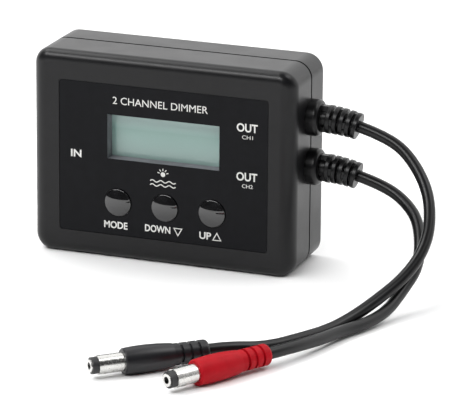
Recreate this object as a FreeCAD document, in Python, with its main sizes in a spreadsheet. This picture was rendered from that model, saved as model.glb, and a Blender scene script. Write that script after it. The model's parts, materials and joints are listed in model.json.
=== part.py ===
import FreeCAD, Part
import math
import os
import Sketcher

# Two-channel dimmer for aquarium lights: a two-shell plastic box with a display, three push buttons,
# an input jack on the left and two output cables with DC plugs on the right.
# Millimetres. X runs along the width, +Y from the front face to the back, +Z up.
# The origin is the middle of the box's footprint, with the proud button caps counted in the depth.

Vector = FreeCAD.Vector
Rotation = FreeCAD.Rotation
Placement = FreeCAD.Placement

SIZES = {
    # housing
    "case_width": 86.0,
    "case_height": 65.0,
    "front_depth": 15.5,
    "rear_depth": 11.5,
    "case_wall": 2.2,
    "corner_radius": 5.4,
    "side_edge_radius": 4.6,
    "top_edge_radius": 3.2,
    "rear_edge_radius": 0.4,
    "groove_width": 0.9,
    "groove_depth": 1.2,
    "lip_height": 1.2,
    "fit_gap": 0.15,
    # screw posts in the four corners
    "post_inset": 5.8,
    "post_diameter": 6.4,
    "pilot_diameter": 2.5,
    "screw_play": 0.04,
    "screw_hole_gap": 0.4,
    "screw_head_diameter": 4.6,
    "screw_head_height": 1.8,
    "head_recess_gap": 0.6,
    "head_recess_depth": 2.6,
    "screw_length": 14.0,
    "drive_slot_width": 0.7,
    "drive_slot_span": 2.8,
    "drive_slot_depth": 1.0,
    # label and display window
    "label_width": 68.7,
    "label_height": 48.4,
    "label_centre_x": 0.5,
    "label_centre_z": 31.9,
    "label_recess": 0.35,
    "label_thickness": 0.2,
    "label_corner": 0.8,
    "window_width": 36.9,
    "window_height": 14.2,
    "window_centre_x": 0.6,
    "window_centre_z": 39.3,
    "window_depth": 4.0,
    "window_rim": 1.2,
    "glass_border": 2.0,
    "glass_thickness": 1.8,
    "backlight_border": 3.0,
    # buttons and tact switches
    "cap_diameter": 8.6,
    "cap_gap": 0.2,
    "cap_proud": 1.3,
    "cap_dome": 1.1,
    "cap_flange_step": 0.9,
    "cap_flange_thickness": 1.0,
    "cap_flange_gap": 0.2,
    "button_pitch": 15.5,
    "button_centre_x": 1.25,
    "button_centre_z": 18.35,
    "switch_size": 6.0,
    "switch_height": 3.4,
    "plunger_diameter": 3.2,
    "plunger_length": 1.9,
    "plunger_above": 1.1,
    "plunger_gap": 0.15,
    "switch_bore_depth": 1.6,
    # circuit board
    "board_width": 76.0,
    "board_height": 50.0,
    "board_depth": 9.0,
    "board_thickness": 1.6,
    "board_corner": 1.0,
    "board_post_diameter": 5.0,
    "board_post_x": 32.5,
    "board_post_rise": 21.8,
    "board_pilot_diameter": 2.0,
    "board_screw_length": 6.0,
    "board_head_diameter": 3.8,
    "board_head_height": 1.4,
    "post_clearance": 0.3,
    # input jack
    "jack_bore_diameter": 6.3,
    "jack_bore_depth": 9.5,
    "jack_nose_diameter": 8.8,
    "jack_length": 11.5,
    "jack_height": 9.0,
    "jack_pin_diameter": 2.0,
    "jack_pin_recess": 1.0,
    "jack_centre_z": 32.5,
    "jack_contact_width": 2.0,
    "jack_contact_length": 6.0,
    "jack_contact_thickness": 0.4,
    # strain reliefs and inner leads
    "relief_upper_z": 47.9,
    "relief_pitch": 15.6,
    "relief_disc_diameter": 11.4,
    "relief_disc_thickness": 3.7,
    "relief_disc_edge": 1.3,
    "relief_neck": 7.6,
    "relief_flange": 10.0,
    "relief_flange_thickness": 1.4,
    "relief_ring_diameter": 8.9,
    "relief_ring_taper": 0.14,
    "relief_ring_width": 1.4,
    "relief_core_diameter": 5.4,
    "relief_reach": 15.7,
    "relief_rings": 5,
    "relief_droop": 14.0,
    "connector_length": 6.0,
    "connector_height": 8.0,
    "connector_depth": 8.0,
    "connector_inset": 9.0,
    # cables and plugs
    "cord_diameter": 3.6,
    "plug_length": 36.2,
    "boot_length": 10.9,
    "boot_diameter": 6.4,
    "boot_end_radius": 1.1,
    "boot_groove_depth": 0.7,
    "boot_groove_width": 0.9,
    "boot_grooves": 3,
    "grip_length": 15.2,
    "grip_rear_diameter": 6.8,
    "grip_middle_diameter": 8.0,
    "grip_front_diameter": 7.6,
    "grip_nose_radius": 0.35,
    "barrel_diameter": 5.5,
    "barrel_wall": 0.45,
    "barrel_shank_step": 0.3,
    "barrel_seat": 5.0,
    "insulator_wall": 0.55,
    "insulator_collar": 1.8,
    "insulator_collar_step": 0.3,
    "contact_wall": 0.7,
    "contact_flange": 0.5,
    "contact_flange_step": 0.55,
}

# Parts that stand on the board's rear face: width, height, depth, centre x, rise above the board's foot.
BOARD_CHIPS = {
    "microcontroller": (10.0, 10.0, 1.4, 0.0, 33.0),
    "crystal": (11.0, 4.6, 3.5, -14.0, 36.0),
    "output_transistor_1": (6.5, 9.5, 2.3, 18.0, 41.0),
    "output_transistor_2": (6.5, 9.5, 2.3, 18.0, 25.0),
    "voltage_regulator": (6.5, 9.5, 2.3, -24.0, 42.0),
    "input_diode": (4.0, 7.0, 2.3, -25.0, 25.0),
}
CAPACITOR = {"diameter": 8.0, "length": 11.5, "x": -24.0, "rise": 11.0}
CELL = {"diameter": 12.5, "thickness": 2.0, "gap": 0.1, "x": 4.0, "rise": 12.0}
CELL_HOLDER = {"width": 17.0, "height": 16.0, "depth": 3.8}

# Cable routes: the first run leaves the strain relief's mouth along its axis, and these points follow.
# They stay as chosen, and each ends at its plug's boot.
EXIT_RUN = 7.4
ROUTES = {
    "cable_1": [
        (74.8, 0.2, 40.9),
        (83.9, -6.8, 32.3),
        (87.3, -14.5, 23.1),
        (87.1, -22.1, 16.5),
        (84.1, -30.3, 11.1),
        (79.5, -38.9, 7.0),
        (74.8, -47.8, 3.7),
        (70.5, -57.0, 2.0),
        (65.8, -67.5, 2.2),
        (58.6, -79.2, 2.1),
        (50.1, -88.1, 4.0),
        (45.5, -92.5, 4.0),
    ],
    "cable_2": [
        (74.2, -0.1, 25.9),
        (81.5, -6.6, 21.1),
        (85.6, -19.0, 12.1),
        (83.4, -29.3, 6.5),
        (81.9, -38.6, 3.2),
        (78.8, -48.5, 2.1),
        (74.3, -58.1, 2.3),
        (71.2, -69.5, 2.9),
        (66.5, -82.8, 4.0),
        (62.5, -89.5, 4.0),
    ],
}
ARC_SHARE = 0.45

doc = FreeCAD.newDocument("aquarium_light_dimmer")
sheet = doc.addObject("Spreadsheet::Sheet", "Sizes")
for row, (alias, value) in enumerate(SIZES.items(), start=1):
    sheet.set("A%d" % row, alias)
    sheet.set("B%d" % row, str(value))
    sheet.setAlias("B%d" % row, alias)
doc.recompute()

NODES = {}


def cell(alias):
    return float(sheet.get(alias))


def bound(text):
    """Turn words of an expression that are aliases into references to the sheet."""
    parts = text.replace("(", " ( ").replace(")", " ) ").split()
    return " ".join("Sizes." + part if part in SIZES else part for part in parts)


FRONT_Y = "( cap_proud - front_depth - rear_depth ) / 2"
PARTING_Y = FRONT_Y + " + front_depth"
BACK_Y = PARTING_Y + " + rear_depth"
BOARD_REAR_Y = FRONT_Y + " + board_depth + board_thickness"
BOARD_FOOT_Z = "( case_height - board_height ) / 2"
INNER_X = "( case_width / 2 - case_wall )"
HOLE_DIAMETER = "cap_diameter + 2 * cap_gap"
SCREW_DIAMETER = "( pilot_diameter - screw_play )"
BOARD_SCREW_DIAMETER = "( board_pilot_diameter - screw_play )"
SCREW_HOLE_DIAMETER = "( pilot_diameter + screw_hole_gap )"
HEAD_RECESS_DIAMETER = "( screw_head_diameter + head_recess_gap )"
# A cutting tool passes its face by OVERSHOOT, so that no film of material is left.
OVERSHOOT = 1.0
BEFORE = " - %g" % OVERSHOOT
AFTER = " + %g" % OVERSHOOT
# Directions count as parallel, and places and volumes as equal, within these.
PARALLEL = 0.99
SAME_PLACE = 0.01
SAME_SHARE = 0.01
ALONG_X = (1, 0, 0)
ALONG_Y = (0, 1, 0)


def place(item, x, y, z):
    for axis, text in zip("xyz", (x, y, z)):
        item.setExpression("Placement.Base." + axis, bound(str(text)))
    return item


def block(name, x, y, z, width, depth, height):
    """A box with its low corner at x, y, z."""
    item = doc.addObject("Part::Box", name)
    item.setExpression("Length", bound(str(width)))
    item.setExpression("Width", bound(str(depth)))
    item.setExpression("Height", bound(str(height)))
    return place(item, x, y, z)


def rod(name, x, y, z, diameter, length, direction):
    """A cylinder that starts at x, y, z and runs along direction."""
    item = doc.addObject("Part::Cylinder", name)
    item.Placement = Placement(Vector(), Rotation(Vector(0, 0, 1), Vector(*direction)))
    item.setExpression("Radius", bound("( %s ) / 2" % diameter))
    item.setExpression("Height", bound(str(length)))
    return place(item, x, y, z)


def fused(name, pieces):
    item = doc.addObject("Part::MultiFuse", name)
    item.Shapes = pieces
    return item


def cut(name, base, tool):
    item = doc.addObject("Part::Cut", name)
    item.Base = base
    item.Tool = tool
    return item


def node(name, item):
    """Register a finished sub-part under the name of its file."""
    item.Label = name
    NODES[name] = item
    return item


def shaped(name, shape, placement=None):
    item = doc.addObject("Part::Feature", name)
    item.Shape = shape
    item.Placement = placement or Placement()
    return item


def origin_plane(body, role):
    return next(plane for plane in body.Origin.OriginFeatures if plane.Role == role)


def rectangle(sketch, width, height, x="0", z="0"):
    """A rectangle centred at x, z, with its four sizes bound to the sheet."""
    corners = [Vector(-1, -1, 0), Vector(1, -1, 0), Vector(1, 1, 0), Vector(-1, 1, 0)]
    first = sketch.GeometryCount
    for start, end in zip(corners, corners[1:] + corners[:1]):
        sketch.addGeometry(Part.LineSegment(start, end), False)
    for side in range(4):
        sketch.addConstraint(
            Sketcher.Constraint("Coincident", first + side, 2, first + (side + 1) % 4, 1)
        )
    for side, kind in enumerate(("Horizontal", "Vertical", "Horizontal", "Vertical")):
        sketch.addConstraint(Sketcher.Constraint(kind, first + side))
    dimensions = [
        (Sketcher.Constraint("DistanceX", first, 1, first, 2, 2.0), width),
        (Sketcher.Constraint("DistanceY", first + 1, 1, first + 1, 2, 2.0), height),
        (Sketcher.Constraint("DistanceX", -1, 1, first, 2, 1.0), "%s + ( %s ) / 2" % (x, width)),
        (Sketcher.Constraint("DistanceY", -1, 1, first + 2, 1, 1.0), "%s + ( %s ) / 2" % (z, height)),
    ]
    for constraint, text in dimensions:
        index = sketch.addConstraint(constraint)
        sketch.setExpression("Constraints[%d]" % index, bound(text))


def circle(sketch, diameter, x, z):
    """A circle whose diameter and centre are bound to the sheet; its centre lies in one quadrant."""
    index = sketch.addGeometry(Part.Circle(Vector(1, 1, 0), Vector(0, 0, 1), 1.0), False)
    radius = sketch.addConstraint(Sketcher.Constraint("Diameter", index, 2.0))
    sketch.setExpression("Constraints[%d]" % radius, bound(diameter))
    across = sketch.addConstraint(Sketcher.Constraint("DistanceX", -1, 1, index, 3, 1.0))
    sketch.setExpression("Constraints[%d]" % across, bound(x))
    upright = sketch.addConstraint(Sketcher.Constraint("DistanceY", -1, 1, index, 3, 1.0))
    sketch.setExpression("Constraints[%d]" % upright, bound(z))


def new_sketch(body, name):
    sketch = body.newObject("Sketcher::SketchObject", name)
    sketch.AttachmentSupport = [(origin_plane(body, "XZ_Plane"), "")]
    sketch.MapMode = "FlatFace"
    return sketch


def edges_along_y(item):
    return [
        number
        for number, edge in enumerate(item.Shape.Edges, start=1)
        if abs(edge.tangentAt(edge.FirstParameter).y) > PARALLEL
    ]


def soft_cornered(name, item, radius):
    """The same block with its four edges along Y rounded."""
    doc.recompute()
    soft = doc.addObject("Part::Fillet", name)
    soft.Base = item
    soft.Edges = [(number, radius, radius) for number in edges_along_y(item)]
    return soft


def plate(name, width, height, thickness, x, y, z, corner=None, openings=()):
    """A flat piece parallel to the front face, centred at x, z, its front at y."""
    body = doc.addObject("PartDesign::Body", name)
    outline = new_sketch(body, name + "_outline")
    rectangle(outline, width, height)
    pad = body.newObject("PartDesign::Pad", name + "_pad")
    pad.Profile = outline
    pad.Reversed = True
    pad.setExpression("Length", bound(thickness))
    doc.recompute()
    if corner:
        edges = ["Edge%d" % number for number in edges_along_y(pad)]
        rounding = body.newObject("PartDesign::Fillet", name + "_corners")
        rounding.Base = (pad, edges)
        rounding.setExpression("Radius", bound(corner))
        doc.recompute()
    if openings:
        solid = body.Shape.Volume
        holes = new_sketch(body, name + "_openings")
        for draw, arguments in openings:
            draw(holes, *arguments)
        pocket = body.newObject("PartDesign::Pocket", name + "_pocket")
        pocket.Profile = holes
        pocket.Type = "ThroughAll"
        doc.recompute()
        pocket.Reversed = pocket.Shape.Volume > solid - 1.0
        doc.recompute()
        if pocket.Shape.Volume > solid - 1.0:
            raise RuntimeError("%s: the openings cut nothing" % name)
    place(body, x, y, z)
    return node(name, body)


front_y = (cell("cap_proud") - cell("front_depth") - cell("rear_depth")) / 2
parting_y = front_y + cell("front_depth")
button_names = ["mode", "down", "up"]
button_steps = [-1, 0, 1]
relief_rows = {"1": 0, "2": 1}
mouths = {}


def button_x(step):
    return "( button_centre_x + %d * button_pitch )" % step


def relief_z(row):
    return "( relief_upper_z - %d * relief_pitch )" % row


# --- housing shells ---------------------------------------------------------------------------------


def rounded_case(name, start, depth, front_edges, back_edges):
    """A box over the full width and height, with round corners and one or both rims rounded."""
    raw = block(name + "_raw", "- case_width / 2", start, 0, "case_width", depth, "case_height")
    doc.recompute()
    half_width = cell("case_width") / 2
    low_y = raw.Shape.BoundBox.YMin
    high_y = raw.Shape.BoundBox.YMax
    rows = []
    for number, edge in enumerate(raw.Shape.Edges, start=1):
        middle = edge.CenterOfMass
        along_y = abs(edge.tangentAt(edge.FirstParameter).y) > PARALLEL
        upright = abs(abs(middle.x) - half_width) < SAME_PLACE
        radius = None
        if along_y:
            radius = cell("corner_radius")
        elif front_edges and abs(middle.y - low_y) < SAME_PLACE:
            radius = cell("side_edge_radius") if upright else cell("top_edge_radius")
        elif back_edges and abs(middle.y - high_y) < SAME_PLACE:
            radius = cell("rear_edge_radius")
        if radius:
            rows.append((number, radius, radius))
    item = doc.addObject("Part::Fillet", name)
    item.Base = raw
    item.Edges = rows
    return item


def frame_ring(name, start, depth, outer_inset, inner_inset):
    """A ring around the case, between two distances from its outer walls, round at the case's corners."""
    walls = []
    for part, inset in (("outer", outer_inset), ("inner", inner_inset)):
        wall = block(
            "%s_%s_block" % (name, part),
            "- case_width / 2 + ( %s )" % inset,
            start,
            inset,
            "case_width - 2 * ( %s )" % inset,
            depth,
            "case_height - 2 * ( %s )" % inset,
        )
        doc.recompute()
        distance = wall.Shape.BoundBox.XMin + cell("case_width") / 2
        walls.append(soft_cornered("%s_%s" % (name, part), wall, cell("corner_radius") - distance))
    return cut(name, walls[0], walls[1])


def post_places():
    for side in (-1, 1):
        for level in (0, 1):
            x = "%d * ( case_width / 2 - post_inset )" % side
            z = "post_inset + %d * ( case_height - 2 * post_inset )" % level
            yield side, level, x, z


def board_post_places():
    for side in (-1, 1):
        for level in (-1, 1):
            yield side, level, "%d * board_post_x" % side, "case_height / 2 + %d * board_post_rise" % level


def side_openings(name):
    """The necks of both strain reliefs and the nose of the jack, as they pass through the side walls."""
    tools = []
    for label, row in relief_rows.items():
        tools.append(
            block(
                "%s_neck_%s" % (name, label),
                INNER_X + BEFORE,
                PARTING_Y + " - relief_neck / 2",
                relief_z(row) + " - relief_neck / 2",
                "case_wall" + AFTER + AFTER,
                "relief_neck",
                "relief_neck",
            )
        )
    tools.append(
        rod(
            name + "_nose",
            "- case_width / 2" + BEFORE,
            PARTING_Y,
            "jack_centre_z",
            "jack_nose_diameter",
            "case_wall" + AFTER + AFTER,
            ALONG_X,
        )
    )
    return fused(name, tools)


cavity_corner = cell("corner_radius") - cell("case_wall")


def build_front_shell():
    case = rounded_case("front_case", FRONT_Y, "front_depth", True, False)
    cavity = block(
        "front_cavity",
        "- case_width / 2 + case_wall",
        FRONT_Y + " + case_wall",
        "case_wall",
        "case_width - 2 * case_wall",
        "front_depth",
        "case_height - 2 * case_wall",
    )
    hollow = cut("front_hollow", case, soft_cornered("front_room", cavity, cavity_corner))
    window_x = "window_centre_x - window_width / 2"
    window_z = "window_centre_z - window_height / 2"
    added = [hollow]
    added.append(
        block(
            "window_rim",
            window_x + " - window_rim",
            FRONT_Y + " + case_wall",
            window_z + " - window_rim",
            "window_width + 2 * window_rim",
            "window_depth - case_wall",
            "window_height + 2 * window_rim",
        )
    )
    for side, level, x, z in post_places():
        tag = "%d_%d" % (side, level)
        added.append(
            rod(
                "front_post_" + tag,
                x,
                FRONT_Y + " + case_wall",
                z,
                "post_diameter",
                "front_depth - case_wall",
                ALONG_Y,
            )
        )
    for side, level, x, z in board_post_places():
        tag = "%d_%d" % (side, level)
        added.append(
            rod(
                "board_post_" + tag,
                x,
                FRONT_Y + " + case_wall",
                z,
                "board_post_diameter",
                "board_depth - case_wall",
                ALONG_Y,
            )
        )
    recess = block(
        "label_recess_block",
        "label_centre_x - label_width / 2",
        FRONT_Y + BEFORE,
        "label_centre_z - label_height / 2",
        "label_width",
        "label_recess" + AFTER,
        "label_height",
    )
    tools = [
        soft_cornered("label_recess_cut", recess, cell("label_corner") + cell("fit_gap")),
        block(
            "window_cut",
            window_x,
            FRONT_Y + BEFORE,
            window_z,
            "window_width",
            "window_depth" + AFTER,
            "window_height",
        ),
        frame_ring(
            "front_rebate",
            PARTING_Y + " - lip_height - fit_gap",
            "lip_height + fit_gap" + AFTER,
            "case_wall / 2",
            "case_wall",
        ),
        side_openings("front_sides"),
    ]
    for name, step in zip(button_names, button_steps):
        tools.append(
            rod(
                "hole_" + name,
                button_x(step),
                FRONT_Y + BEFORE,
                "button_centre_z",
                HOLE_DIAMETER,
                "case_wall" + AFTER + AFTER,
                ALONG_Y,
            )
        )
    for side, level, x, z in post_places():
        tag = "%d_%d" % (side, level)
        tools.append(
            rod(
                "pilot_" + tag, x, FRONT_Y + " + case_wall", z, "pilot_diameter", "front_depth", ALONG_Y
            )
        )
    for side, level, x, z in board_post_places():
        tag = "%d_%d" % (side, level)
        tools.append(
            rod(
                "board_pilot_" + tag,
                x,
                FRONT_Y + " + case_wall",
                z,
                "board_pilot_diameter",
                "board_depth",
                ALONG_Y,
            )
        )
    body = fused("front_body", added)
    return node("front_shell", cut("front_shell", body, fused("front_tools", tools)))


def build_rear_shell():
    case = rounded_case("rear_case", PARTING_Y, "rear_depth", False, True)
    cavity = block(
        "rear_cavity",
        "- case_width / 2 + case_wall",
        PARTING_Y + BEFORE,
        "case_wall",
        "case_width - 2 * case_wall",
        "rear_depth - case_wall" + AFTER,
        "case_height - 2 * case_wall",
    )
    hollow = cut("rear_hollow", case, soft_cornered("rear_room", cavity, cavity_corner))
    lip = frame_ring(
        "rear_lip",
        PARTING_Y + " - lip_height",
        "lip_height" + AFTER,
        "case_wall / 2 + fit_gap",
        "case_wall",
    )
    added = [hollow, lip]
    for side, level, x, z in post_places():
        tag = "%d_%d" % (side, level)
        added.append(
            rod("rear_post_" + tag, x, PARTING_Y, z, "post_diameter", "rear_depth - case_wall", ALONG_Y)
        )
    tools = [
        frame_ring("shadow_groove", PARTING_Y, "groove_width", "- 1", "groove_depth"),
        side_openings("rear_sides"),
    ]
    for side, level, x, z in post_places():
        tag = "%d_%d" % (side, level)
        tools.append(
            rod(
                "screw_hole_" + tag,
                x,
                PARTING_Y + BEFORE,
                z,
                SCREW_HOLE_DIAMETER,
                "rear_depth" + AFTER + AFTER,
                ALONG_Y,
            )
        )
        tools.append(
            rod(
                "head_recess_" + tag,
                x,
                BACK_Y + " - head_recess_depth",
                z,
                HEAD_RECESS_DIAMETER,
                "head_recess_depth" + AFTER,
                ALONG_Y,
            )
        )
    body = fused("rear_body", added)
    return node("rear_shell", cut("rear_shell", body, fused("rear_tools", tools)))


def build_screw(name, x, seat_y, z, head_diameter, head_height, shank_diameter, length, slot_depth):
    """A pan-head screw driven from the rear, its head's underside at seat_y."""
    head = rod(name + "_head", x, seat_y, z, head_diameter, head_height, ALONG_Y)
    shank = rod(name + "_shank", x, seat_y + " - " + length, z, shank_diameter, length, ALONG_Y)
    slots = []
    long_and_narrow = ("drive_slot_span", "drive_slot_width")
    for tag, spans in (("across", long_and_narrow), ("upright", long_and_narrow[::-1])):
        slots.append(
            block(
                "%s_%s" % (name, tag),
                "%s - %s / 2" % (x, spans[0]),
                "%s + %s - %s" % (seat_y, head_height, slot_depth),
                "%s - %s / 2" % (z, spans[1]),
                spans[0],
                slot_depth + AFTER,
                spans[1],
            )
        )
    solid = fused(name + "_solid", [head, shank])
    return node(name, cut(name, solid, fused(name + "_drive", slots)))


build_front_shell()
build_rear_shell()
for side, level, x, z in post_places():
    label = "%s_%s" % ("upper" if level else "lower", "right" if side > 0 else "left")
    build_screw(
        "case_screw_" + label,
        x,
        BACK_Y + " - head_recess_depth",
        z,
        "screw_head_diameter",
        "screw_head_height",
        SCREW_DIAMETER,
        "screw_length",
        "drive_slot_depth",
    )

# --- label and display ------------------------------------------------------------------------------

label_openings = [
    (
        rectangle,
        (
            "window_width",
            "window_height",
            "( window_centre_x - label_centre_x )",
            "( window_centre_z - label_centre_z )",
        ),
    )
]


for step in button_steps:
    label_openings.append(
        (
            circle,
            (HOLE_DIAMETER, button_x(step) + " - label_centre_x", "button_centre_z - label_centre_z"),
        )
    )
plate(
    "front_label",
    "label_width - 2 * fit_gap",
    "label_height - 2 * fit_gap",
    "label_thickness",
    "label_centre_x",
    FRONT_Y + " + label_recess - label_thickness",
    "label_centre_z",
    "label_corner",
    label_openings,
)
plate(
    "lcd_glass",
    "window_width + 2 * glass_border",
    "window_height + 2 * glass_border",
    "glass_thickness",
    "window_centre_x",
    FRONT_Y + " + window_depth",
    "window_centre_z",
)
plate(
    "lcd_backlight",
    "window_width + 2 * backlight_border",
    "window_height + 2 * backlight_border",
    "board_depth - window_depth - glass_thickness",
    "window_centre_x",
    FRONT_Y + " + window_depth + glass_thickness",
    "window_centre_z",
    "board_corner",
)

# --- circuit board and what stands on it -------------------------------------------------------------

board_openings = []
for side, level, x, z in post_places():
    board_openings.append((circle, ("post_diameter + 2 * post_clearance", x, z + " - case_height / 2")))
for side, level, x, z in board_post_places():
    board_openings.append((circle, ("board_pilot_diameter", x, z + " - case_height / 2")))
plate(
    "circuit_board",
    "board_width",
    "board_height",
    "board_thickness",
    "0",
    FRONT_Y + " + board_depth",
    "case_height / 2",
    None,
    board_openings,
)
for side, level, x, z in board_post_places():
    label = "%s_%s" % ("upper" if level > 0 else "lower", "right" if side > 0 else "left")
    build_screw(
        "board_screw_" + label,
        x,
        BOARD_REAR_Y,
        z,
        "board_head_diameter",
        "board_head_height",
        BOARD_SCREW_DIAMETER,
        "board_screw_length",
        "drive_slot_width",
    )
for name, (width, height, depth, x, rise) in BOARD_CHIPS.items():
    plate(
        name, str(width), str(height), str(depth), str(x), BOARD_REAR_Y, BOARD_FOOT_Z + " + %g" % rise
    )

capacitor = rod(
    "capacitor",
    CAPACITOR["x"],
    BOARD_REAR_Y,
    BOARD_FOOT_Z + " + %g" % CAPACITOR["rise"],
    str(CAPACITOR["diameter"]),
    CAPACITOR["length"],
    ALONG_Y,
)
node("capacitor", capacitor)

cell_z = BOARD_FOOT_Z + " + %g" % CELL["rise"]
pocket_floor = "%s + %g - %g" % (BOARD_REAR_Y, CELL_HOLDER["depth"], CELL["thickness"])
holder_block = block(
    "cell_holder_block",
    CELL["x"] - CELL_HOLDER["width"] / 2,
    BOARD_REAR_Y,
    cell_z + " - %g" % (CELL_HOLDER["height"] / 2),
    CELL_HOLDER["width"],
    CELL_HOLDER["depth"],
    CELL_HOLDER["height"],
)
pocket_diameter = str(CELL["diameter"] + 2 * CELL["gap"])
holder_pocket = rod(
    "cell_pocket", CELL["x"], pocket_floor, cell_z, pocket_diameter, CELL["thickness"] + 1, ALONG_Y
)
node("cell_holder", cut("cell_holder", holder_block, holder_pocket))
node(
    "backup_cell",
    rod("backup_cell", CELL["x"], pocket_floor, cell_z, str(CELL["diameter"]), CELL["thickness"], ALONG_Y),
)

# --- buttons and tact switches -----------------------------------------------------------------------


def cap_shape():
    """A domed cap with a retaining flange and a stem, turned about Y, with the case's front at y = 0."""
    radius = cell("cap_diameter") / 2
    flange_radius = radius + cell("cap_flange_step")
    stem_radius = cell("plunger_diameter") / 2
    apex = -cell("cap_proud")
    rim = apex + cell("cap_dome")
    dome_radius = (radius**2 + cell("cap_dome") ** 2) / (2 * cell("cap_dome"))
    half_angle = math.asin(radius / dome_radius) / 2
    flange_front = cell("case_wall") + cell("cap_flange_gap")
    flange_back = flange_front + cell("cap_flange_thickness")
    stem_end = cell("board_depth") - cell("switch_height") - cell("plunger_above")
    top = Vector(0, apex, 0)
    shoulder = Vector(radius, rim, 0)
    crown = Vector(
        dome_radius * math.sin(half_angle), apex + dome_radius * (1 - math.cos(half_angle)), 0
    )
    profile = [
        shoulder,
        Vector(radius, flange_front, 0),
        Vector(flange_radius, flange_front, 0),
        Vector(flange_radius, flange_back, 0),
        Vector(stem_radius, flange_back, 0),
        Vector(stem_radius, stem_end, 0),
        Vector(0, stem_end, 0),
        top,
    ]
    edges = [Part.Arc(top, crown, shoulder).toShape()]
    for start, end in zip(profile, profile[1:]):
        edges.append(Part.LineSegment(start, end).toShape())
    return Part.Face(Part.Wire(edges)).revolve(Vector(), Vector(0, 1, 0), 360)


def build_button(name, step):
    x = button_x(step)
    z = "button_centre_z"
    switch_front = FRONT_Y + " + board_depth - switch_height"
    plunger_front = switch_front + " - plunger_above"
    centre = Vector(
        cell("button_centre_x") + step * cell("button_pitch"), front_y, cell("button_centre_z")
    )
    node("button_" + name, shaped("button_" + name, cap_shape(), Placement(centre, Rotation())))
    node(
        "plunger_" + name,
        rod("plunger_" + name, x, plunger_front, z, "plunger_diameter", "plunger_length", ALONG_Y),
    )
    housing = block(
        "switch_block_" + name,
        x + " - switch_size / 2",
        switch_front,
        z + " - switch_size / 2",
        "switch_size",
        "switch_height",
        "switch_size",
    )
    bore = rod(
        "switch_bore_" + name,
        x,
        switch_front + BEFORE,
        z,
        "plunger_diameter + 2 * plunger_gap",
        "switch_bore_depth" + AFTER,
        ALONG_Y,
    )
    node("switch_" + name, cut("switch_" + name, housing, bore))


for name, step in zip(button_names, button_steps):
    build_button(name, step)

# --- input jack on the left side ---------------------------------------------------------------------

jack_half_depth = "( front_depth - board_depth - board_thickness )"
jack_block = block(
    "jack_block",
    "- " + INNER_X,
    BOARD_REAR_Y,
    "jack_centre_z - jack_height / 2",
    "jack_length",
    "2 * " + jack_half_depth,
    "jack_height",
)
jack_nose = rod(
    "jack_nose",
    "- case_width / 2",
    PARTING_Y,
    "jack_centre_z",
    "jack_nose_diameter",
    "case_wall",
    ALONG_X,
)
jack_bore = rod(
    "jack_bore",
    "- case_width / 2" + BEFORE,
    PARTING_Y,
    "jack_centre_z",
    "jack_bore_diameter",
    "jack_bore_depth" + AFTER,
    ALONG_X,
)
contact_place = (
    "- case_width / 2 + jack_bore_depth - jack_contact_length",
    PARTING_Y + " - jack_contact_width / 2",
    "jack_centre_z - jack_bore_diameter / 2 - jack_contact_thickness",
)
contact_slot = block(
    "jack_slot", *contact_place, "jack_contact_length", "jack_contact_width", "jack_bore_diameter / 2"
)
jack_body = cut(
    "jack_body",
    fused("jack_solid", [jack_block, jack_nose]),
    fused("jack_tools", [jack_bore, contact_slot]),
)
node("jack_housing", jack_body)
node(
    "jack_pin",
    rod(
        "jack_pin",
        "- case_width / 2 + jack_pin_recess",
        PARTING_Y,
        "jack_centre_z",
        "jack_pin_diameter",
        "jack_bore_depth - jack_pin_recess",
        ALONG_X,
    ),
)
node(
    "jack_contact",
    block(
        "jack_contact",
        *contact_place,
        "jack_contact_length",
        "jack_contact_width",
        "jack_contact_thickness",
    ),
)

# --- strain reliefs, inner leads and output connectors -------------------------------------------------


RING_EDGE_SHARE = 0.2
WEB_WIDTH_SHARE = 1.4


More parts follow.
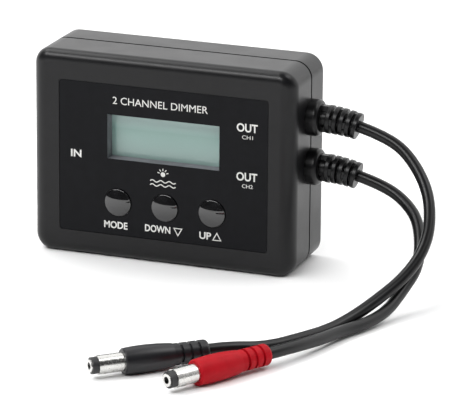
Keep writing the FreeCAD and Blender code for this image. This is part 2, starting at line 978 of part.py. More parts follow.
def relief_shape(z):
    """Flange and neck held by the shells, a round disc outside, then staggered rings on a bent core."""
    half_width = cell("case_width") / 2
    wall = cell("case_wall")
    flange = cell("relief_flange")
    neck = cell("relief_neck")
    thickness = cell("relief_disc_thickness")
    inner_x = half_width - wall - cell("relief_flange_thickness")
    outer_x = half_width + thickness
    disc_radius = cell("relief_disc_diameter") / 2
    disc_edge = cell("relief_disc_edge")
    outer = Part.makeCylinder(disc_radius, thickness, Vector(half_width, parting_y, z), Vector(1, 0, 0))
    rim = [edge for edge in outer.Edges if edge.BoundBox.XMin > outer_x - disc_edge]
    outer = outer.makeFillet(disc_edge, rim)
    flange_block = Part.makeBox(
        half_width - wall - inner_x, flange, flange, Vector(
            inner_x, parting_y - flange / 2, z - flange / 2
        )
    )
    neck_block = Part.makeBox(
        wall, neck, neck, Vector(half_width - wall, parting_y - neck / 2, z - neck / 2)
    )
    bend_length = cell("relief_reach") - thickness
    droop = math.radians(cell("relief_droop"))
    bend_radius = bend_length / droop
    pieces = [flange_block, neck_block]

    def along(distance):
        angle = distance / bend_radius
        centre = Vector(
            outer_x + bend_radius * math.sin(angle), parting_y, z - bend_radius * (1 - math.cos(angle))
        )
        return centre, Vector(math.cos(angle), 0, -math.sin(angle))

    spine = Part.Arc(along(0)[0], along(bend_length / 2)[0], along(bend_length)[0]).toShape()
    core = Part.Wire(
        [Part.Circle(along(0)[0], Vector(1, 0, 0), cell("relief_core_diameter") / 2).toShape()]
    )
    pieces.append(Part.Wire([spine]).makePipeShell([core], True, False))
    rings = int(cell("relief_rings"))
    width = cell("relief_ring_width")
    ring_edge = width * RING_EDGE_SHARE
    web_width = width * WEB_WIDTH_SHARE
    pitch = (bend_length - width) / rings
    for number in range(rings):
        end, direction = along((number + 1) * pitch + width)
        diameter = cell("relief_ring_diameter") - number * cell("relief_ring_taper")
        ring = Part.makeCylinder(diameter / 2, width, end - direction * width, direction)
        ring_edges = [edge for edge in ring.Edges if isinstance(edge.Curve, Part.Circle)]
        pieces.append(ring.makeFillet(ring_edge, ring_edges))
        # a web joins each ring to the one before it, in turn at the top and bottom or at the two sides
        base, base_direction = along(number * pitch + (width / 2 if number else 0.0))
        reach = pitch - (width / 2 if number else 0.0) + width / 2
        web_reach = diameter / 2 - ring_edge
        for sign in (-1, 1):
            web = Part.makeBox(reach, web_width, web_reach, Vector(0, -web_width / 2, 0))
            turn = 90 * (number % 2) + (180 if sign < 0 else 0)
            web.Placement = Placement(base, Rotation(Vector(1, 0, 0), base_direction)) * Placement(
                Vector(), Rotation(Vector(1, 0, 0), turn)
            )
            pieces.append(web)
    solid = outer.multiFuse(pieces).removeSplitter()
    mouth, direction = along(bend_length)
    return solid.Solids[0], mouth, direction


for label, row in relief_rows.items():
    z = cell("relief_upper_z") - row * cell("relief_pitch")
    relief, mouth, direction = relief_shape(z)
    mouths["cable_" + label] = (mouth, mouth + direction * EXIT_RUN)
    node("strain_relief_" + label, shaped("strain_relief_" + label, relief))
    node(
        "output_connector_" + label,
        block(
            "output_connector_" + label,
            "case_width / 2 - connector_inset - connector_length",
            BOARD_REAR_Y,
            relief_z(row) + " - connector_height / 2",
            "connector_length",
            "connector_depth",
            "connector_height",
        ),
    )
    node(
        "inner_lead_" + label,
        rod(
            "inner_lead_" + label,
            "case_width / 2 - connector_inset",
            PARTING_Y,
            relief_z(row),
            "cord_diameter",
            "connector_inset - case_wall - relief_flange_thickness",
            ALONG_X,
        ),
    )

# --- free cables --------------------------------------------------------------------------------------


def cord_path(points):
    """Straight runs joined by tangent arcs, each as large as its two runs allow."""
    edges = []
    radii = []
    previous = points[0]
    for before, corner, after in zip(points, points[1:], points[2:]):
        incoming = (corner - before).normalize()
        outgoing = (after - corner).normalize()
        half_turn = incoming.getAngle(outgoing) / 2
        setback = ARC_SHARE * min((corner - before).Length, (after - corner).Length)
        radius = setback / math.tan(half_turn)
        start = corner - incoming * setback
        end = corner + outgoing * setback
        bisector = (outgoing - incoming).normalize()
        centre = corner + bisector * (radius / math.cos(half_turn))
        middle = centre - bisector * radius
        edges.append(Part.LineSegment(previous, start).toShape())
        edges.append(Part.Arc(start, middle, end).toShape())
        radii.append(radius)
        previous = end
    edges.append(Part.LineSegment(previous, points[-1]).toShape())
    return Part.Wire(edges), radii


for name, route in ROUTES.items():
    points = list(mouths[name]) + [Vector(*point) for point in route]
    path, radii = cord_path(points)
    section = Part.Wire(
        [Part.Circle(points[0], points[1] - points[0], cell("cord_diameter") / 2).toShape()]
    )
    tube = path.makePipeShell([section], True, False)
    expected = math.pi * (cell("cord_diameter") / 2) ** 2 * path.Length
    print("%s length %.1f volume ratio %.4f" % (name, path.Length, tube.Volume / expected))
    print("  start", " ".join("(%.2f, %.2f, %.2f)" % tuple(point) for point in points[:2]))
    print("  radii", " ".join("%.1f" % radius for radius in radii))
    if abs(tube.Volume / expected - 1) > SAME_SHARE:
        raise RuntimeError("%s: the tube's volume is wrong" % name)
    node(name, shaped(name, tube))

# --- DC plugs -----------------------------------------------------------------------------------------


def turned(outline):
    """Revolve a closed outline of x, radius points about the plug's own X axis."""
    wire = Part.makePolygon([Vector(x, 0, radius) for x, radius in outline + outline[:1]])
    return Part.Face(wire).revolve(Vector(), Vector(1, 0, 0), 360)


def grip_shape():
    boot = cell("boot_length")
    front = boot + cell("grip_length")
    boot_radius = cell("boot_diameter") / 2
    groove = cell("boot_groove_width")
    seat = front - cell("barrel_seat")
    rear = Vector(boot, 0, cell("grip_rear_diameter") / 2)
    middle = Vector((boot + front) / 2, 0, cell("grip_middle_diameter") / 2)
    nose_radius = cell("grip_nose_radius")
    nose = Vector(front - nose_radius, 0, cell("grip_front_diameter") / 2)
    tip = Vector(front, 0, nose.z - nose_radius)
    end_radius = cell("boot_end_radius")
    rim = Vector(0, 0, boot_radius - end_radius)
    crest = Vector(end_radius, 0, boot_radius)
    shoulder = Vector(end_radius - end_radius * math.sqrt(0.5), 0, rim.z + end_radius * math.sqrt(0.5))
    outline = [
        Part.LineSegment(Vector(), rim),
        Part.Arc(rim, shoulder, crest),
        Part.LineSegment(crest, Vector(boot, 0, boot_radius)),
        Part.LineSegment(Vector(boot, 0, boot_radius), rear),
        Part.Arc(rear, middle, nose),
        Part.LineSegment(nose, tip),
        Part.LineSegment(tip, Vector(front, 0, 0)),
        Part.LineSegment(Vector(front, 0, 0), Vector()),
    ]
    face = Part.Face(Part.Wire([segment.toShape() for segment in outline]))
    solid = face.revolve(Vector(), Vector(1, 0, 0), 360)
    grooves = int(cell("boot_grooves"))
    pitch = boot / (grooves + 1)
    shank_radius = cell("barrel_diameter") / 2 - cell("barrel_shank_step")
    tools = [
        turned(
            [(seat, 0), (front + OVERSHOOT, 0), (front + OVERSHOOT, shank_radius), (seat, shank_radius)]
        )
    ]
    for number in range(grooves):
        start = (number + 1) * pitch
        inner = boot_radius - cell("boot_groove_depth")
        stop = start + groove
        outer = boot_radius + OVERSHOOT
        tools.append(turned([(start, inner), (stop, inner), (stop, outer), (start, outer)]))
    for tool in tools:
        solid = solid.cut(tool)
    return solid, seat, front


def plug_shapes():
    """Grip with boot, outer barrel, insulator and inner contact, along +X from the cable to the tip."""
    grip, seat, front = grip_shape()
    length = cell("plug_length")
    barrel_radius = cell("barrel_diameter") / 2
    sleeve_radius = barrel_radius - cell("barrel_wall")
    contact_radius = sleeve_radius - cell("insulator_wall")
    bore_radius = contact_radius - cell("contact_wall")
    flange_x = length - cell("contact_flange")
    collar_x = flange_x - cell("insulator_collar")
    shank_radius = barrel_radius - cell("barrel_shank_step")
    collar_radius = barrel_radius - cell("insulator_collar_step")
    flange_radius = collar_radius - cell("contact_flange_step")
    barrel = turned(
        [
            (seat, sleeve_radius),
            (collar_x, sleeve_radius),
            (collar_x, barrel_radius),
            (front, barrel_radius),
            (front, shank_radius),
            (seat, shank_radius),
        ]
    )
    insulator = turned(
        [
            (seat, contact_radius),
            (flange_x, contact_radius),
            (flange_x, collar_radius),
            (collar_x, collar_radius),
            (collar_x, sleeve_radius),
            (seat, sleeve_radius),
        ]
    )
    contact = turned(
        [
            (seat, bore_radius),
            (length, bore_radius),
            (length, flange_radius),
            (flange_x, flange_radius),
            (flange_x, contact_radius),
            (seat, contact_radius),
        ]
    )
    return {"grip": grip, "barrel": barrel, "insulator": insulator, "contact": contact}


for label in relief_rows:
    before, end = (Vector(*point) for point in ROUTES["cable_" + label][-2:])
    seat = Placement(end, Rotation(Vector(1, 0, 0), end - before))
    for piece, shape in plug_shapes().items():
        name = "plug_%s_%s" % (label, piece)
        node(name, shaped(name, shape, seat))

# --- check and write ------------------------------------------------------------------------------------

doc.recompute()
for item in doc.Objects:
    if "Invalid" in item.State or "Error" in item.State:
        raise RuntimeError("%s did not rebuild: %s" % (item.Label, item.State))
for name, item in NODES.items():
    if item.Shape.isNull() or not item.Shape.isValid():
        raise RuntimeError("%s has no valid shape" % name)
    if len(item.Shape.Solids) != 1:
        raise RuntimeError("%s has %d solids" % (name, len(item.Shape.Solids)))

os.makedirs("parts", exist_ok=True)
for name, item in NODES.items():
    item.Shape.exportStep("parts/%s.step" % name)
print("%d sub-parts written" % len(NODES))
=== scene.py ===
import json
import math

import bmesh
import bpy
from mathutils import Matrix, Vector


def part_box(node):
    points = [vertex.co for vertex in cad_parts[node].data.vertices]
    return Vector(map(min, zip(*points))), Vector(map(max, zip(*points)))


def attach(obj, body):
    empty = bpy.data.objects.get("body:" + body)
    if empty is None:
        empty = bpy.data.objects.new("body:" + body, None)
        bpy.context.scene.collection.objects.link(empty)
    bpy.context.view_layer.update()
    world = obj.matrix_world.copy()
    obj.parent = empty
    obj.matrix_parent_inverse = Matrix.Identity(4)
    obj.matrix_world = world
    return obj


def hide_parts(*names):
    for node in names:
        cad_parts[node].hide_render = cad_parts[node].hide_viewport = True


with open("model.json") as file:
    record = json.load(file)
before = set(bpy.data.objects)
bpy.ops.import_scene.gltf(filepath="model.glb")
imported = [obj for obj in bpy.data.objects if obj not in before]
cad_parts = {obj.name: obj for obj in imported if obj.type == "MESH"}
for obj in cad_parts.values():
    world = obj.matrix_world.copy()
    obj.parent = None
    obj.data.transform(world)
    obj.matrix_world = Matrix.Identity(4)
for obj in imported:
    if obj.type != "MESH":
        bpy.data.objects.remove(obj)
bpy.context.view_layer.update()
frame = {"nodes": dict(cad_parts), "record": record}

MM = 0.001
scene = bpy.context.scene
nodes = frame["nodes"]

# Camera: a long lens a little more than a metre away, to the right of the front face and above it.
CAMERA_AZIMUTH = 20.32
CAMERA_ELEVATION = 17.13
CAMERA_ROLL = 0.45
CAMERA_DISTANCE = 1.155
CAMERA_AIM = Vector((14.95, 4.04, 17.4)) * MM
SENSOR_WIDTH = 36.0
IMAGE_WIDTH = 451
FOCAL_PIXELS = 3719
CLIP_START = 0.05

# Cables: the same route points as the CAD tubes, in millimetres.
CORD_DIAMETER = 3.6
EXITS = {
    "1": (58.58, 2.65, 46.44),
    "2": (58.58, 2.65, 30.84),
}
ROUTES = {
    "1": [
        (65.76, 2.65, 44.65),
        (74.8, 0.2, 40.9),
        (83.9, -6.8, 32.3),
        (87.3, -14.5, 23.1),
        (87.1, -22.1, 16.5),
        (84.1, -30.3, 11.1),
        (79.5, -38.9, 7.0),
        (74.8, -47.8, 3.7),
        (70.5, -57.0, 2.0),
        (65.8, -67.5, 2.2),
        (58.6, -79.2, 2.1),
        (50.1, -88.1, 4.0),
        (45.5, -92.5, 4.0),
    ],
    "2": [
        (65.76, 2.65, 29.05),
        (74.2, -0.1, 25.9),
        (81.5, -6.6, 21.1),
        (85.6, -19.0, 12.1),
        (83.4, -29.3, 6.5),
        (81.9, -38.6, 3.2),
        (78.8, -48.5, 2.1),
        (74.3, -58.1, 2.3),
        (71.2, -69.5, 2.9),
        (66.5, -82.8, 4.0),
        (62.5, -89.5, 4.0),
    ],
}
# The bevel is one metre deep and the points' radius scales it down to the cord's own radius,
# because a point's radius also widens the curve's bounding box.
POINT_RADIUS = CORD_DIAMETER / 2 * MM
BEVEL_DEPTH = 1.0
CORD_ORDER = 3
CORD_STEPS = 16
CORD_ROUNDNESS = 8


# --- camera ---------------------------------------------------------------------------------------


def add_camera():
    data = bpy.data.cameras.new("camera")
    data.sensor_width = SENSOR_WIDTH
    data.lens = FOCAL_PIXELS * SENSOR_WIDTH / IMAGE_WIDTH
    data.clip_start = CLIP_START
    camera = bpy.data.objects.new("camera", data)
    turn = (
        Matrix.Rotation(math.radians(CAMERA_AZIMUTH), 4, "Z")
        @ Matrix.Rotation(math.radians(90 - CAMERA_ELEVATION), 4, "X")
        @ Matrix.Rotation(math.radians(CAMERA_ROLL), 4, "Z")
    )
    back = turn.to_3x3() @ Vector((0, 0, 1))
    camera.matrix_world = Matrix.Translation(CAMERA_AIM + back * CAMERA_DISTANCE) @ turn
    scene.collection.objects.link(camera)
    scene.camera = camera


add_camera()


# --- cables ---------------------------------------------------------------------------------------


def add_cord(label):
    """One cable as a NURBS spline from its strain relief to its plug, in place of the CAD tube."""
    points = [Vector(point) * MM for point in [EXITS[label]] + ROUTES[label]]
    data = bpy.data.curves.new("cord_" + label, "CURVE")
    data.dimensions = "3D"
    spline = data.splines.new("NURBS")
    spline.points.add(len(points) - 1)
    for control, point in zip(spline.points, points):
        control.co = (*point, 1.0)
        control.radius = POINT_RADIUS
    spline.order_u = CORD_ORDER
    spline.use_endpoint_u = True
    spline.resolution_u = CORD_STEPS
    data.bevel_depth = BEVEL_DEPTH
    data.bevel_resolution = CORD_ROUNDNESS
    data.use_fill_caps = True
    cord = bpy.data.objects.new("cord_" + label, data)
    scene.collection.objects.link(cord)
    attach(cord, "housing")
    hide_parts("cable_" + label)
    return cord


cords = [add_cord(label) for label in EXITS]


# --- materials ------------------------------------------------------------------------------------

# a noise is stretched from this middle part of its range to the whole of it
NOISE_LOW = 0.35
NOISE_HIGH = 0.65


class Finish:
    """A material under construction: one Principled shader and the textures that feed it."""

    def __init__(self, name, color, roughness, metallic=0.0, specular=0.5):
        self.material = bpy.data.materials.new(name)
        self.material.use_nodes = True
        self.tree = self.material.node_tree
        self.shader = self.tree.nodes["Principled BSDF"]
        self.shader.inputs["Base Color"].default_value = (*color, 1.0)
        self.shader.inputs["Roughness"].default_value = roughness
        self.shader.inputs["Metallic"].default_value = metallic
        self.shader.inputs["Specular IOR Level"].default_value = specular
        self.color = color
        self.roughness = roughness
        self.place = self.tree.nodes.new("ShaderNodeTexCoord").outputs["Object"]

    def stretched(self, scale):
        """The object's own coordinates, scaled apart along each axis."""
        mapping = self.tree.nodes.new("ShaderNodeMapping")
        mapping.inputs["Scale"].default_value = scale
        self.tree.links.new(self.place, mapping.inputs["Vector"])
        return mapping.outputs["Vector"]

    def noise(self, size, detail=3.0, roughness=0.55, stretch=(1, 1, 1)):
        """A noise whose features are about size millimetres across."""
        texture = self.tree.nodes.new("ShaderNodeTexNoise")
        texture.inputs["Scale"].default_value = 1 / (size * MM)
        texture.inputs["Detail"].default_value = detail
        texture.inputs["Roughness"].default_value = roughness
        self.tree.links.new(self.stretched(stretch), texture.inputs["Vector"])
        return texture.outputs["Fac"]

    def remap(self, value, low, high):
        """A noise value spread over low to high."""
        node = self.tree.nodes.new("ShaderNodeMapRange")
        node.inputs["From Min"].default_value = NOISE_LOW
        node.inputs["From Max"].default_value = NOISE_HIGH
        node.inputs["To Min"].default_value = low
        node.inputs["To Max"].default_value = high
        self.tree.links.new(value, node.inputs["Value"])
        return node.outputs["Result"]

    def vary_roughness(self, value, spread):
        """Let the roughness wander by spread to both sides."""
        low, high = self.roughness - spread, self.roughness + spread
        self.tree.links.new(self.remap(value, low, high), self.shader.inputs["Roughness"])

    def vary_color(self, value, other):
        """Blend the base colour towards another one by a texture."""
        mix = self.tree.nodes.new("ShaderNodeMix")
        mix.data_type = "RGBA"
        mix.inputs["A"].default_value = (*self.color, 1.0)
        mix.inputs["B"].default_value = (*other, 1.0)
        self.tree.links.new(self.remap(value, 0.0, 1.0), mix.inputs["Factor"])
        self.tree.links.new(mix.outputs["Result"], self.shader.inputs["Base Color"])

    def bump(self, value, height):
        """Raise the surface by a texture, height in millimetres."""
        node = self.tree.nodes.new("ShaderNodeBump")
        node.inputs["Strength"].default_value = 1.0
        node.inputs["Distance"].default_value = height * MM
        self.tree.links.new(value, node.inputs["Height"])
        self.tree.links.new(node.outputs["Normal"], self.shader.inputs["Normal"])


def moulded(name, color, roughness, grain, height, specular=0.5, lighter=1.35):
    """Spark-eroded moulded plastic: a fine even grain and a slow change of gloss and tone.

    The grain's size and height are in millimetres; lighter is how much the tone may rise."""
    finish = Finish(name, color, roughness, specular=specular)
    finish.bump(finish.noise(grain, detail=4.0, roughness=0.6), height)
    finish.vary_roughness(finish.noise(9.0, detail=2.0), roughness * 0.05)
    other = tuple(min(1.0, part * lighter) for part in color)
    finish.vary_color(finish.noise(3.0, detail=4.0), other)
    return finish


def plated(name, color, roughness, lines):
    """Plated metal with fine turning lines across its length."""
    finish = Finish(name, color, roughness, metallic=1.0)
    finish.bump(finish.noise(0.25, stretch=lines), 0.002)
    finish.vary_roughness(finish.noise(1.2, detail=3.0), roughness * 0.3)
    finish.vary_color(finish.noise(2.0), tuple(part * 0.9 for part in color))
    return finish


# Painted light and shade on the display: these tones, spread over its height, stand in for the
# light falling in through the window, with painted shade above the middle and a painted highlight
# at the top.
LCD_FOOT_PAINTED_LIGHT = (0.25, 0.35, 0.33, 1.0)
LCD_MIDDLE_PAINTED_SHADE = (0.185, 0.305, 0.275, 1.0)
LCD_PAINTED_SHADE_HEIGHT = 0.6
LCD_TOP_PAINTED_HIGHLIGHT = (0.48, 0.64, 0.62, 1.0)


def display_finish():
    """The reflective display: grey-green, with painted shade darkest above its middle and a painted
    highlight lightest at its top, standing in for the light that falls in through its window, and a
    fine cell texture."""
    finish = Finish("lcd_glass", (0.33, 0.44, 0.40), 0.22, specular=0.5)
    tree = finish.tree
    split = tree.nodes.new("ShaderNodeSeparateXYZ")
    tree.links.new(finish.place, split.inputs["Vector"])
    low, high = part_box("lcd_glass")
    rise = tree.nodes.new("ShaderNodeMapRange")
    rise.inputs["From Min"].default_value = low.z
    rise.inputs["From Max"].default_value = high.z
    tree.links.new(split.outputs["Z"], rise.inputs["Value"])
    # this ramp paints the light and shade over the display's height: painted shade above the
    # middle, a painted highlight at the top
    painted_light_ramp = tree.nodes.new("ShaderNodeValToRGB")
    painted_light_ramp.color_ramp.elements[0].color = LCD_FOOT_PAINTED_LIGHT
    painted_light_ramp.color_ramp.elements[1].color = LCD_TOP_PAINTED_HIGHLIGHT
    middle = painted_light_ramp.color_ramp.elements.new(LCD_PAINTED_SHADE_HEIGHT)
    middle.color = LCD_MIDDLE_PAINTED_SHADE
    tree.links.new(rise.outputs["Result"], painted_light_ramp.inputs["Fac"])
    speckle = tree.nodes.new("ShaderNodeMix")
    speckle.data_type = "RGBA"
    speckle.blend_type = "MULTIPLY"
    speckle.inputs["Factor"].default_value = 0.06
    tree.links.new(painted_light_ramp.outputs["Color"], speckle.inputs["A"])
    tree.links.new(finish.noise(0.3, detail=2.0), speckle.inputs["B"])
    tree.links.new(speckle.outputs["Result"], finish.shader.inputs["Base Color"])
    finish.shader.inputs["Coat Weight"].default_value = 0.6
    finish.shader.inputs["Coat Roughness"].default_value = 0.06
    finish.vary_roughness(finish.noise(4.0), 0.03)
    return finish


def glossy_caps():
    """Polished black plastic with a barely uneven surface."""
    finish = Finish("cap_plastic", (0.002, 0.002, 0.0025), 0.07, specular=1.0)
    finish.vary_roughness(finish.noise(1.6, detail=4.0), 0.03)
    finish.bump(finish.noise(2.5, detail=1.0), 0.004)
    finish.vary_color(finish.noise(2.0), (0.009, 0.009, 0.010))
    return finish


CASE_BLACK = (0.0032, 0.0032, 0.0038)
LABEL_BLACK = (0.0030, 0.0032, 0.0042)
CABLE_BLACK = (0.0030, 0.0030, 0.0034)
GRIP_BLACK = (0.0065, 0.0065, 0.0080)
GRIP_RED = (0.36, 0.004, 0.010)

FINISHES = {
    "case_plastic": moulded("case_plastic", CASE_BLACK, 0.34, 0.22, 0.008, specular=0.3),
    "label_film": moulded("label_film", LABEL_BLACK, 0.36, 0.12, 0.003, specular=0.12),
    "lcd_glass": display_finish(),
    "white_plastic": moulded("white_plastic", (0.72, 0.71, 0.66), 0.5, 0.3, 0.006, lighter=1.05),
    "cap_plastic": glossy_caps(),
    "component_black": moulded("component_black", (0.012, 0.012, 0.013), 0.5, 0.2, 0.008),
    "board_green": moulded("board_green", (0.012, 0.09, 0.03), 0.35, 0.4, 0.006, lighter=1.6),
    "screw_steel": plated("screw_steel", (0.55, 0.55, 0.56), 0.32, (1, 6, 1)),
    "nickel": plated("nickel", (0.66, 0.655, 0.635), 0.24, (1, 1, 1)),
    "cable_rubber": moulded("cable_rubber", CABLE_BLACK, 0.32, 0.35, 0.005, specular=0.3),
    "grip_black": moulded("grip_black", GRIP_BLACK, 0.36, 0.30, 0.006, specular=0.4),
    "grip_red": moulded("grip_red", GRIP_RED, 0.46, 0.30, 0.006, specular=0.10, lighter=1.12),
}
FINISHES["grip_red"].shader.inputs["Subsurface Weight"].default_value = 0.08
FINISHES["grip_red"].shader.inputs["Subsurface Radius"].default_value = (0.002, 0.0004, 0.0004)

SMOOTH_ANGLE = math.radians(32)
for row in frame["record"]["subparts"]:
    piece = nodes[row["node"]]
    piece.data.materials.clear()
    piece.data.materials.append(FINISHES[row["material_slot"]].material)
    piece.data.shade_smooth()
    piece.data.set_sharp_from_angle(angle=SMOOTH_ANGLE)

# --- button caps ----------------------------------------------------------------------------------

# the sizes of the CAD caps in millimetres, with a rounded edge added
CAP_DIAMETER = 8.6
CAP_DOME = 1.1
CAP_EDGE = 0.22
CAP_SHANK = 3.7
CAP_FLANGE = 1.0
CAP_STEM_RADIUS = 1.6
CAP_STEPS = 96
DOME_STEPS = 14
RIM_STEPS = 5


def cap_profile(depth, flange_radius):
    """The cap's outline, from its apex to the end of its stem: radius and depth in millimetres."""
    radius = CAP_DIAMETER / 2
    sphere = (radius**2 + CAP_DOME**2) / (2 * CAP_DOME)
    rim_angle = math.asin((radius - CAP_EDGE) / sphere)
    outline = []
    for step in range(DOME_STEPS + 1):
        angle = rim_angle * step / DOME_STEPS
        outline.append((sphere * math.sin(angle), sphere * (1 - math.cos(angle))))
    rim_radius, rim_depth = outline[-1]
    edge = radius - rim_radius
    for step in range(1, RIM_STEPS + 1):
        angle = rim_angle + (math.pi / 2 - rim_angle) * step / RIM_STEPS
        swing = (math.sin(angle) - math.sin(rim_angle)) / (1 - math.sin(rim_angle))
        drop = math.cos(rim_angle) - math.cos(angle)
        outline.append((rim_radius + edge * swing, rim_depth + edge * drop))
    flange_back = CAP_SHANK + CAP_FLANGE
    outline += [(radius, CAP_SHANK), (flange_radius, CAP_SHANK), (flange_radius, flange_back)]
    outline += [(CAP_STEM_RADIUS, flange_back), (CAP_STEM_RADIUS, depth)]
    return outline


def turned_cap(name):
    """A glossy domed cap turned about the button's axis, in the place of its CAD solid."""
    low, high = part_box("button_" + name)
    centre_x, centre_z = (low.x + high.x) / 2, (low.z + high.z) / 2
    outline = cap_profile((high.y - low.y) / MM, (high.x - low.x) / 2 / MM)
    build = bmesh.new()
    apex = build.verts.new((centre_x, low.y, centre_z))
    end = build.verts.new((centre_x, high.y, centre_z))
    rings = []
    for radius, depth in outline[1:]:
        ring = []
        for step in range(CAP_STEPS):
            angle = 2 * math.pi * step / CAP_STEPS
            across = centre_x + radius * MM * math.cos(angle)
            upward = centre_z + radius * MM * math.sin(angle)
            ring.append(build.verts.new((across, low.y + depth * MM, upward)))
        rings.append(ring)
    for step in range(CAP_STEPS):
        after = (step + 1) % CAP_STEPS
        build.faces.new((apex, rings[0][step], rings[0][after]))
        build.faces.new((end, rings[-1][after], rings[-1][step]))
        for inner, outer in zip(rings, rings[1:]):
            build.faces.new((inner[step], outer[step], outer[after], inner[after]))
    bmesh.ops.recalc_face_normals(build, faces=build.faces)
    mesh = bpy.data.meshes.new("cap_" + name)
    build.to_mesh(mesh)
    build.free()
    mesh.shade_smooth()
    mesh.set_sharp_from_angle(angle=SMOOTH_ANGLE)
    mesh.materials.append(FINISHES["cap_plastic"].material)
    cap = bpy.data.objects.new("cap_" + name, mesh)
    scene.collection.objects.link(cap)
    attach(cap, name + "_key")
    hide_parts("button_" + name)


for name in ("mode", "down", "up"):
    turned_cap(name)
for cord in cords:
    cord.data.materials.append(FINISHES["cable_rubber"].material)

# --- printed legends ------------------------------------------------------------------------------

INK = moulded("legend_ink", (0.62, 0.62, 0.60), 0.5, 0.15, 0.004, lighter=1.15)
INK_HEIGHT = 0.02 * MM
WINDOW_X = 0.6
WINDOW_Z = 39.3
WINDOW_WIDTH = 36.9
WINDOW_HEIGHT = 14.2
LINER_INSET = 0.06 * MM
LINER_GAP = 0.02 * MM
PRINT_LINE = 0.28
WAVE_LINE = 0.30
MITRE_LIMIT = 0.4
DISC_SIDES = 28
BOLDNESS_UNIT = 0.0001
FONT_SIZE = 0.01
label_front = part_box("front_label")[0].y


def print_piece(piece):
    """Give a flat piece its ink and let it ride on the housing."""
    piece.data.materials.append(INK.material)
    scene.collection.objects.link(piece)
    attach(piece, "housing")
    return piece


def legend(name, words, x, z, width, height, weight):
    """Words centred at x, z on the label, fitted to a width and a height in millimetres.

    A weight above 0 makes the letters bolder."""
    data = bpy.data.curves.new("legend_" + name, "FONT")
    data.body = words
    data.align_x = "CENTER"
    data.size = FONT_SIZE
    data.offset = weight * BOLDNESS_UNIT
    data.resolution_u = 4
    text = bpy.data.objects.new("legend_" + name, data)
    scene.collection.objects.link(text)
    bpy.context.view_layer.update()
    evaluated = text.evaluated_get(bpy.context.evaluated_depsgraph_get())
    mesh = bpy.data.meshes.new_from_object(evaluated)
    bpy.data.objects.remove(text)
    xs = [vertex.co.x for vertex in mesh.vertices]
    ys = [vertex.co.y for vertex in mesh.vertices]
    middle_x, middle_y = (min(xs) + max(xs)) / 2, (min(ys) + max(ys)) / 2
    scale_x = width * MM / (max(xs) - min(xs))
    scale_y = height * MM / (max(ys) - min(ys))
    for vertex in mesh.vertices:
        across = (vertex.co.x - middle_x) * scale_x + x * MM
        upward = (vertex.co.y - middle_y) * scale_y + z * MM
        vertex.co = (across, label_front - INK_HEIGHT, upward)
    mesh.update()
    return print_piece(bpy.data.objects.new("legend_" + name, mesh))


def stroke(name, points, thickness, closed=False):
    """A printed line of even thickness through points in millimetres on the label."""
    mesh = bpy.data.meshes.new("legend_" + name)
    build = bmesh.new()
    corners = [Vector((x, 0, z)) for x, z in points]
    count = len(corners)
    rims = []
    for index, corner in enumerate(corners):
        before = corners[(index - 1) % count] if closed or index else corner
        after = corners[(index + 1) % count] if closed or index < count - 1 else corner
        second = (after - corner).normalized()
        first = (corner - before).normalized() if corner != before else second
        if corner == after:
            second = first
        along = (first + second).normalized()
        reach = thickness / 2 / max(MITRE_LIMIT, along.dot(first))
        side = Vector((-along.z, 0, along.x)) * reach
        rims.append([build.verts.new((corner + sign * side) * MM) for sign in (-1, 1)])
    pairs = zip(rims, rims[1:] + rims[:1]) if closed else zip(rims, rims[1:])
    for one, two in pairs:
        build.faces.new((one[0], two[0], two[1], one[1]))
    for vertex in build.verts:
        vertex.co.y = label_front - INK_HEIGHT
    build.normal_update()
    build.to_mesh(mesh)
    build.free()
    return print_piece(bpy.data.objects.new("legend_" + name, mesh))


def disc(name, x, z, radius):
    """A printed filled disc."""
    mesh = bpy.data.meshes.new("legend_" + name)
    ring = []
    for step in range(DISC_SIDES):
        angle = 2 * math.pi * step / DISC_SIDES
        across = (x + radius * math.cos(angle)) * MM
        upward = (z + radius * math.sin(angle)) * MM
        ring.append((across, label_front - INK_HEIGHT, upward))
    mesh.from_pydata(ring, [], [tuple(range(DISC_SIDES))])
    return print_piece(bpy.data.objects.new("legend_" + name, mesh))


def window_liner():
    """The satin grey rim that lines the window opening from the label back to the display."""
    corners = []
    for side, rise in ((-1, -1), (1, -1), (1, 1), (-1, 1)):
        across = (WINDOW_X + side * WINDOW_WIDTH / 2) * MM - side * LINER_INSET
        upward = (WINDOW_Z + rise * WINDOW_HEIGHT / 2) * MM - rise * LINER_INSET
        corners.append((across, upward))
    front = label_front + LINER_GAP
    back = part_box("lcd_glass")[0].y - LINER_GAP
    verts = [(x, y, z) for y in (front, back) for x, z in corners]
    faces = [(side, (side + 1) % 4, 4 + (side + 1) % 4, 4 + side) for side in range(4)]
    mesh = bpy.data.meshes.new("window_liner")
    mesh.from_pydata(verts, [], faces)
    mesh.materials.append(moulded("liner_grey", (0.15, 0.15, 0.165), 0.5, 0.2, 0.004).material)
    liner = bpy.data.objects.new("window_liner", mesh)
    scene.collection.objects.link(liner)
    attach(liner, "housing")


window_liner()

LEGENDS = {
    # name: words, centre x, centre z, width, height, weight
    "title": ("2 CHANNEL DIMMER", -0.4, 51.0, 31.2, 2.3, 0.0),
    "input": ("IN", -28.2, 32.8, 3.5, 2.4, 2.4),
    "output_1": ("OUT", 28.0, 46.8, 6.8, 2.7, 2.4),
    "channel_1": ("CH1", 28.1, 43.8, 3.5, 1.2, 0.0),
    "output_2": ("OUT", 28.0, 31.3, 6.8, 2.7, 2.4),
    "channel_2": ("CH2", 28.2, 28.3, 3.5, 1.2, 0.0),
    "mode": ("MODE", -15.0, 11.0, 7.8, 2.3, 2.4),
    "down": ("DOWN", -1.1, 11.3, 8.4, 2.3, 2.4),
    "up": ("UP", 14.6, 11.0, 3.9, 2.3, 2.4),
}
for name, values in LEGENDS.items():
    legend(name, *values)
stroke("arrow_down", [(4.3, 12.2), (6.9, 12.2), (5.6, 9.9)], PRINT_LINE, closed=True)
stroke("arrow_up", [(17.1, 9.9), (19.7, 9.9), (18.4, 12.2)], PRINT_LINE, closed=True)

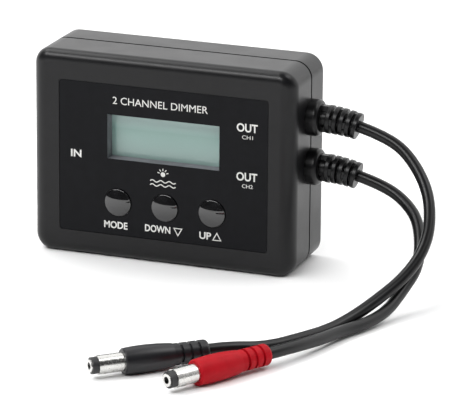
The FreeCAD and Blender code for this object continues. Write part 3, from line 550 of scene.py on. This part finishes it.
# a small lamp-over-water sign: a disc with rays above two waves
SIGN_X, SIGN_Z = 0.6, 27.6
LAMP_Z = SIGN_Z + 1.4
LAMP_RADIUS = 0.75
RAY_REACH = (1.15, 1.9)
WAVE_START = SIGN_X - 4.2
WAVE_TOP = SIGN_Z - 0.9
WAVE_PITCH = 1.3
WAVE_SWING = 0.32
WAVE_STEP = 0.28
WAVE_TURN = 0.628
disc("sign_lamp", SIGN_X, LAMP_Z, LAMP_RADIUS)
for step in range(5):
    angle = math.pi * (0.1 + 0.2 * step)
    ray = [
        (SIGN_X + reach * math.cos(angle), LAMP_Z + reach * math.sin(angle))
        for reach in RAY_REACH
    ]
    stroke("sign_ray_%d" % step, ray, PRINT_LINE)
for row in range(2):
    level = WAVE_TOP - WAVE_PITCH * row
    wave = [
        (WAVE_START + WAVE_STEP * step, level + WAVE_SWING * math.sin(step * WAVE_TURN))
        for step in range(31)
    ]
    stroke("sign_wave_%d" % row, wave, WAVE_LINE)

# --- floor and light ------------------------------------------------------------------------------


FLOOR_SIDES = 24
FLOOR_REACH = 6.0


def add_floor():
    """A level pale floor, wide enough to fill the view from any side."""
    mesh = bpy.data.meshes.new("floor")
    rim = []
    for step in range(FLOOR_SIDES):
        angle = 2 * math.pi * step / FLOOR_SIDES
        rim.append((FLOOR_REACH * math.cos(angle), FLOOR_REACH * math.sin(angle), 0.0))
    mesh.from_pydata(rim, [], [tuple(range(FLOOR_SIDES))])
    floor = bpy.data.objects.new("floor", mesh)
    scene.collection.objects.link(floor)
    paper = Finish("floor_paper", (0.93, 0.93, 0.93), 0.7, specular=0.2)
    paper.vary_roughness(paper.noise(60.0), 0.05)
    mesh.materials.append(paper.material)


def add_softbox(name, place, aim, width, height, power):
    """A rectangular lamp at a place, turned towards aim: metres and watts."""
    data = bpy.data.lights.new(name, "AREA")
    data.shape = "RECTANGLE"
    data.size = width
    data.size_y = height
    data.energy = power
    light = bpy.data.objects.new(name, data)
    direction = Vector(aim) - Vector(place)
    turn = direction.to_track_quat("-Z", "Y").to_matrix().to_4x4()
    light.matrix_world = Matrix.Translation(place) @ turn
    light.visible_camera = False
    scene.collection.objects.link(light)


add_floor()
# A long strip in front of and above the object draws the bright line along its front edges and
# the reflections in the caps. The two softboxes stand high, so that the top does not mirror them.
add_softbox("strip_front", (-0.42, -0.88, 1.0), (0.02, -0.02, 0.03), 1.5, 0.4, 18.0)
add_softbox("softbox_left", (-0.85, 0.1, 1.45), (0.0, 0.0, 0.0), 0.9, 0.8, 11.0)
add_softbox("softbox_right", (1.0, 0.3, 1.55), (0.05, -0.03, 0.0), 0.9, 0.8, 8.0)

# the room: bright behind the object and dim in front of it
DIM_UNTIL, BRIGHT_FROM = -0.1, 0.55
DIM, BRIGHT = 0.06, 1.5
world = bpy.data.worlds.new("studio")
world.use_nodes = True
tree = world.node_tree
direction = tree.nodes.new("ShaderNodeTexCoord").outputs["Generated"]
parts = tree.nodes.new("ShaderNodeSeparateXYZ")
tree.links.new(direction, parts.inputs["Vector"])
wash = tree.nodes.new("ShaderNodeMapRange")
wash.interpolation_type = "SMOOTHSTEP"
wash.inputs["From Min"].default_value = DIM_UNTIL
wash.inputs["From Max"].default_value = BRIGHT_FROM
wash.inputs["To Min"].default_value = DIM
wash.inputs["To Max"].default_value = BRIGHT
tree.links.new(parts.outputs["Y"], wash.inputs["Value"])
tree.nodes["Background"].inputs["Color"].default_value = (1.0, 1.0, 1.0, 1.0)
tree.links.new(wash.outputs["Result"], tree.nodes["Background"].inputs["Strength"])
scene.world = world
scene.view_settings.view_transform = "Standard"
